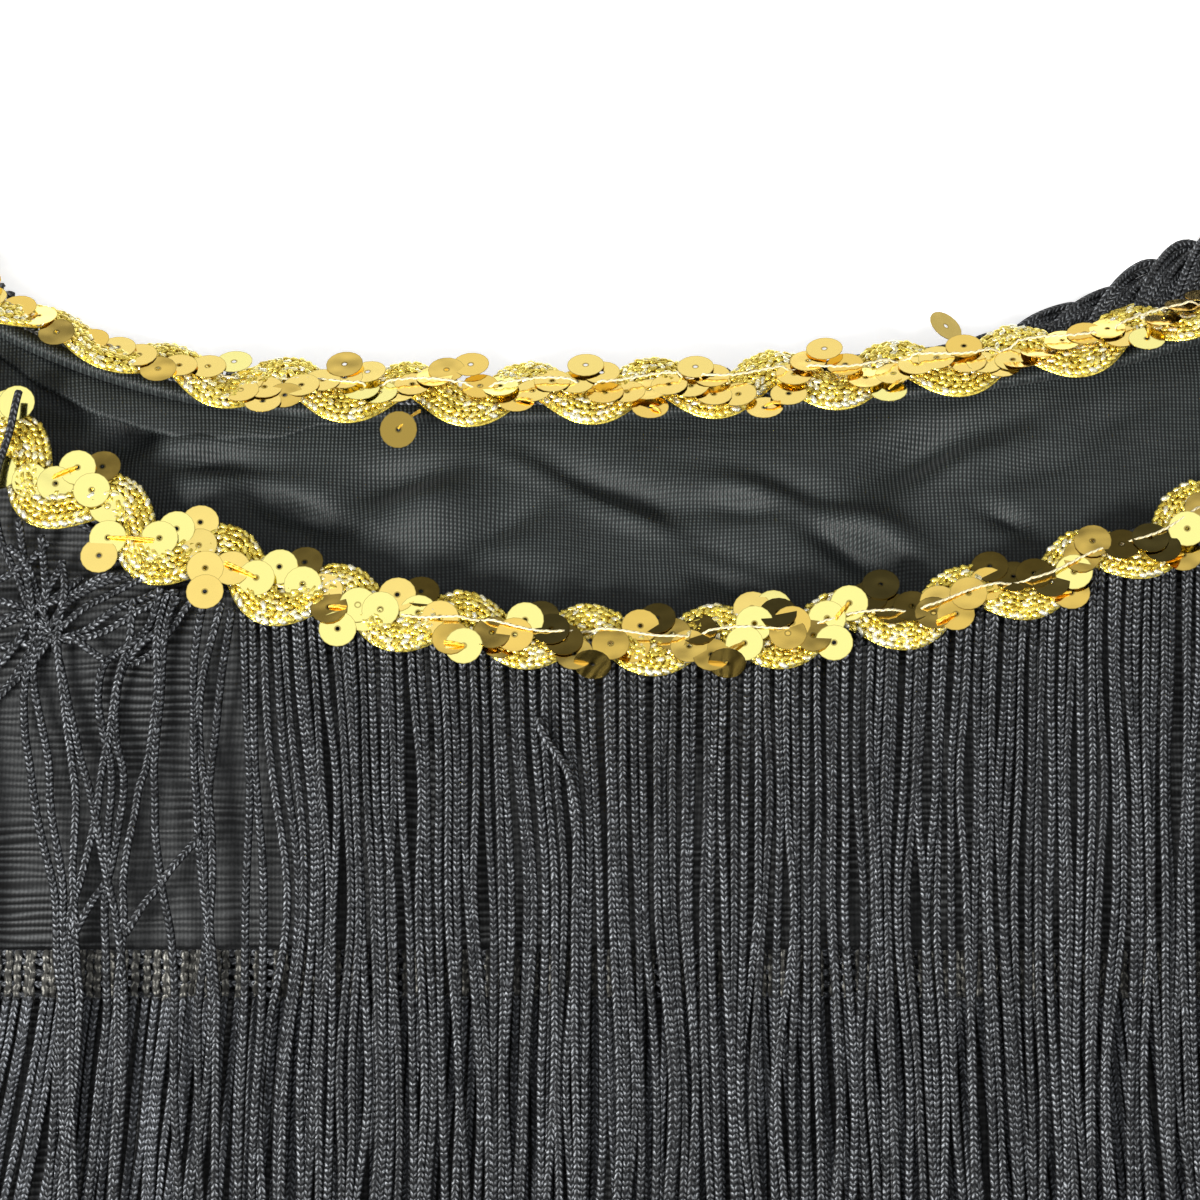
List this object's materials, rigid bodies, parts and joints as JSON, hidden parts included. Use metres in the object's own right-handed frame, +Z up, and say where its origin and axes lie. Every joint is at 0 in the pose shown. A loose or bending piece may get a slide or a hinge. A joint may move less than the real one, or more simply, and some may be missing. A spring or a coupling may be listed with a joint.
{
  "type": "fringed flapper dress",
  "caption": "Sleeveless knit dress laid flat on its back, with rows of long fringe front and back and a gold wave braid round a wide, low neck.",
  "frame": {"origin": "middle of the underside, on the surface that the dress lies on", "axes": "+Y from the hem to the shoulders, +X to the wearer's left, +Z up from the table through the back and then the front"},
  "size_m": [0.48, 0.774, 0.015],
  "materials": {
    "knit": "fine black warp knit with a soft sheen",
    "fringe": "black chainette yarn with a soft sheen",
    "gold_trim": "gold metallic yarn braid with shiny gold sequins"
  },
  "bodies": {
    "root": {"back_panel": "knit", "front_panel": "knit", "fringe_back_neck": "fringe", "fringe_front_neck": "fringe", "fringe_back_chest": "fringe", "fringe_front_chest": "fringe", "fringe_back_waist": "fringe", "fringe_front_waist": "fringe", "fringe_back_hip": "fringe", "fringe_front_hip": "fringe", "fringe_back_hem": "fringe", "fringe_front_hem": "fringe", "braid_back_neck": "gold_trim", "braid_front_neck": "gold_trim"}
  },
  "joints": []
}
